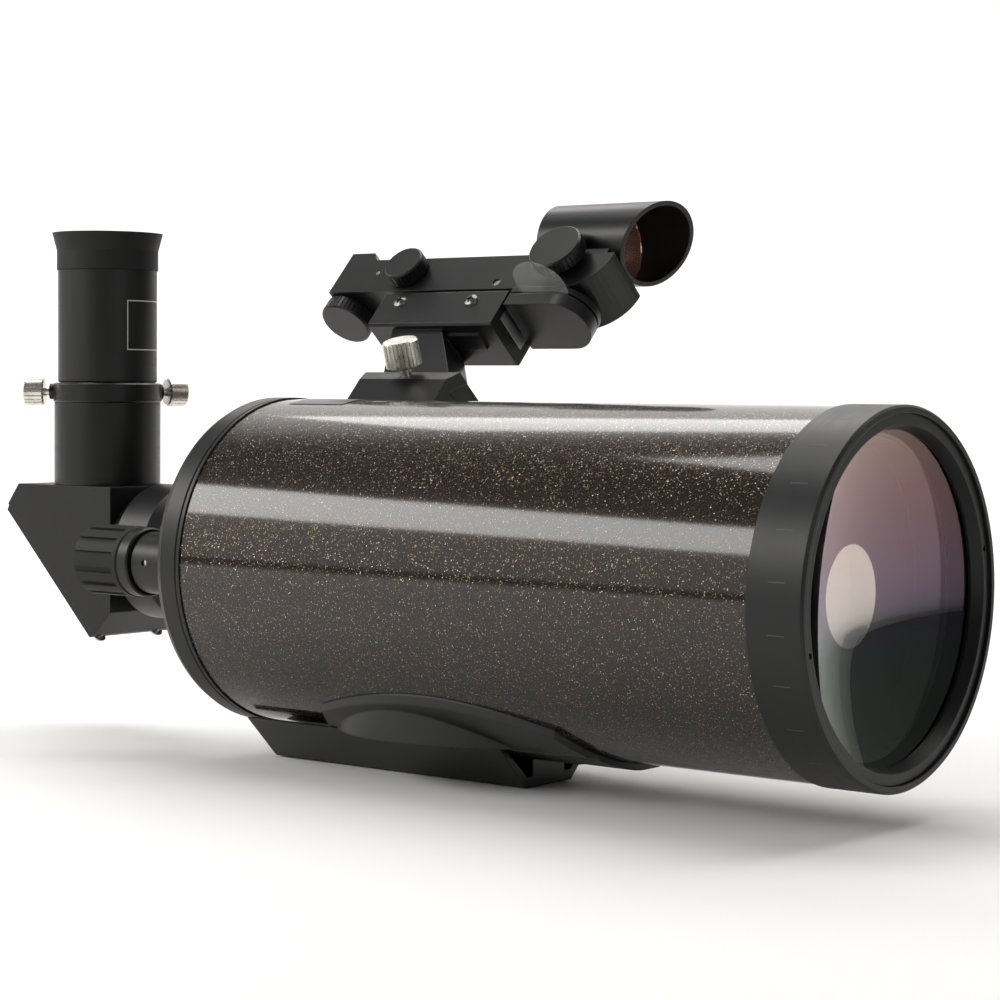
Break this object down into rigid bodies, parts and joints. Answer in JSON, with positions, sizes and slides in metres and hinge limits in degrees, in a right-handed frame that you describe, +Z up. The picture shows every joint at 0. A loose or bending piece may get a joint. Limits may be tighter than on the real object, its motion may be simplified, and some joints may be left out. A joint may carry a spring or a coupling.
{
  "type": "maksutov telescope",
  "caption": "Small Maksutov-Cassegrain telescope with a star diagonal, eyepiece, red-dot sight and dovetail bar; the diagonal, focus, eyepiece, sight and screws move.",
  "frame": {"origin": "centre of the underside of the dovetail bar", "axes": "+X along the optical axis towards the sky, +Z up through the eyepiece, +Y to the observer's left when looking along +X; the red-dot sight stands on the +Y side"},
  "size_m": [0.3368, 0.1595, 0.1776],
  "materials": {
    "tube_finish": "gloss black with fine metallic flake",
    "satin_black_metal": "satin black anodised",
    "bare_aluminium": "machined",
    "coated_glass": "anti-reflection coated",
    "sight_glass": "red-reflecting coating",
    "mirror_coat": "first-surface mirror coat on glass",
    "black_plastic": "satin moulded",
    "black_rubber": "matte",
    "foam": "foam pad",
    "nickel": "nickel plated, straight knurl",
    "steel": "plain",
    "clear_film": "clear film",
    "board": "circuit board",
    "lamp_red": "clear red"
  },
  "bodies": {
    "tube": {"optical_tube": "tube_finish", "front_ring": "satin_black_metal", "corrector_retaining_ring": "satin_black_metal", "meniscus_corrector": "coated_glass", "secondary_mirror_spot": "mirror_coat", "rear_cell": "satin_black_metal", "collimation_screws": "steel", "baffle_tube": "satin_black_metal", "focus_bushing": "satin_black_metal", "focus_set_screw": "steel", "visual_back": "satin_black_metal", "dovetail_bar": "satin_black_metal", "saddle": "black_plastic", "saddle_screws": "steel", "finder_shoe": "black_plastic", "finder_shoe_screws": "steel"},
    "mirror_group": {"primary_mirror": "mirror_coat", "mirror_carrier": "bare_aluminium", "mirror_lock_ring": "satin_black_metal", "focus_rod": "steel"},
    "focus_knob": {"focus_knob": "satin_black_metal", "focus_knob_grip": "black_rubber"},
    "visual_back_screw": {"visual_back_thumbscrew": "nickel"},
    "diagonal": {"diagonal_nosepiece": "satin_black_metal", "diagonal_housing": "black_plastic", "diagonal_mirror": "mirror_coat", "diagonal_mirror_pad": "foam", "diagonal_cover": "black_plastic", "diagonal_cover_screws": "steel", "eyepiece_holder": "satin_black_metal", "holder_clamp_ring": "satin_black_metal"},
    "holder_screw_left": {"holder_thumbscrew_left": "nickel"},
    "holder_screw_right": {"holder_thumbscrew_right": "nickel"},
    "eyepiece": {"eyepiece_barrel": "satin_black_metal", "eyepiece_body": "satin_black_metal", "eyepiece_field_stop": "satin_black_metal", "eyepiece_field_lens": "coated_glass", "eyepiece_eye_lens": "coated_glass", "eyecup": "black_rubber"},
    "shoe_screw": {"shoe_thumbscrew": "nickel"},
    "bracket": {"finder_bracket": "black_plastic", "bracket_clamp_screws": "steel", "sight_rail": "bare_aluminium"},
    "sight_pivot": {"sight_pivot_plate": "bare_aluminium", "sight_tilt_pin": "steel"},
    "sight": {"sight_housing": "black_plastic", "battery_seat_plate": "black_plastic", "sight_side_pin": "steel", "sight_hood": "black_plastic", "sight_lens": "sight_glass", "circuit_board": "board", "red_led": "lamp_red"},
    "azimuth_knob": {"azimuth_knob": "black_plastic"},
    "altitude_knob": {"altitude_knob": "black_plastic"},
    "brightness_knob": {"brightness_knob": "black_plastic"},
    "battery_drawer": {"battery_drawer": "black_plastic", "coin_cell": "steel"},
    "pull_film": {"battery_pull_film": "clear_film"}
  },
  "joints": [
    {"name": "mirror_slide", "type": "slide", "parent": "tube", "child": "mirror_group", "axis": [1, 0, 0], "range_m": [-0.006, 0.006]},
    {"name": "focus_turn", "type": "hinge", "parent": "tube", "child": "focus_knob", "pos_m": [-0.095, -0.035, 0.0605], "axis": [1, 0, 0], "range_deg": [-2880, 2880]},
    {"name": "visual_screw_turn", "type": "hinge", "parent": "tube", "child": "visual_back_screw", "pos_m": [-0.106, 0.024, 0.0611], "axis": [0, 1, 0], "range_deg": [0, 720]},
    {"name": "diagonal_turn", "type": "hinge", "parent": "tube", "child": "diagonal", "pos_m": [-0.139, 0, 0.0611], "axis": [1, 0, 0], "continuous": true},
    {"name": "eyepiece_pull", "type": "slide", "parent": "diagonal", "child": "eyepiece", "axis": [0, 0, 1], "range_m": [0, 0.03]},
    {"name": "holder_screw_left_turn", "type": "hinge", "parent": "diagonal", "child": "holder_screw_left", "pos_m": [-0.15784, -0.01487, 0.1138], "axis": [-0.7848, -0.6198, 0], "range_deg": [0, 720]},
    {"name": "holder_screw_right_turn", "type": "hinge", "parent": "diagonal", "child": "holder_screw_right", "pos_m": [-0.13013, 0.0223, 0.1138], "axis": [0.3697, 0.9291, 0], "range_deg": [0, 720]},
    {"name": "shoe_screw_turn", "type": "hinge", "parent": "tube", "child": "shoe_screw", "pos_m": [-0.031, 0.02914, 0.11991], "axis": [0, -0.3007, 0.9537], "range_deg": [0, 720]},
    {"name": "bracket_slide", "type": "slide", "parent": "tube", "child": "bracket", "axis": [-1, 0, 0], "range_m": [0, 0.045]},
    {"name": "sight_azimuth", "type": "hinge", "parent": "bracket", "child": "sight_pivot", "pos_m": [-0.026, 0.07094, 0.13851], "axis": [0, 0.6756, 0.7373], "range_deg": [-1.3, 1.3]},
    {"name": "sight_altitude", "type": "hinge", "parent": "sight_pivot", "child": "sight", "pos_m": [-0.026, 0.07648, 0.14456], "axis": [0, -0.7373, 0.6756], "range_deg": [-1.3, 1.3]},
    {"name": "azimuth_knob_turn", "type": "hinge", "parent": "sight", "child": "azimuth_knob", "pos_m": [-0.0665, 0.07114, 0.1565], "axis": [0, -0.7373, 0.6756], "range_deg": [-720, 720]},
    {"name": "altitude_knob_turn", "type": "hinge", "parent": "sight", "child": "altitude_knob", "pos_m": [-0.0943, 0.07229, 0.13999], "axis": [0, 0.6756, 0.7373], "range_deg": [-720, 720]},
    {"name": "brightness_turn", "type": "hinge", "parent": "sight", "child": "brightness_knob", "pos_m": [-0.0026, 0.07203, 0.16043], "axis": [0, -0.7373, 0.6756], "range_deg": [0, 270]},
    {"name": "battery_drawer_slide", "type": "slide", "parent": "sight", "child": "battery_drawer", "axis": [1, 0, 0], "range_m": [0, 0.025]},
    {"name": "pull_film_slide", "type": "slide", "parent": "sight", "child": "pull_film", "axis": [0, -0.7373, 0.6756], "range_m": [0, 0.03]}
  ],
  "couplings": [
    {"joint": "mirror_slide", "follows": "focus_turn", "m_per_rad": 0.00011937},
    {"joint": "sight_azimuth", "follows": "azimuth_knob_turn", "ratio": 0.0018},
    {"joint": "sight_altitude", "follows": "altitude_knob_turn", "ratio": 0.0018}
  ]
}
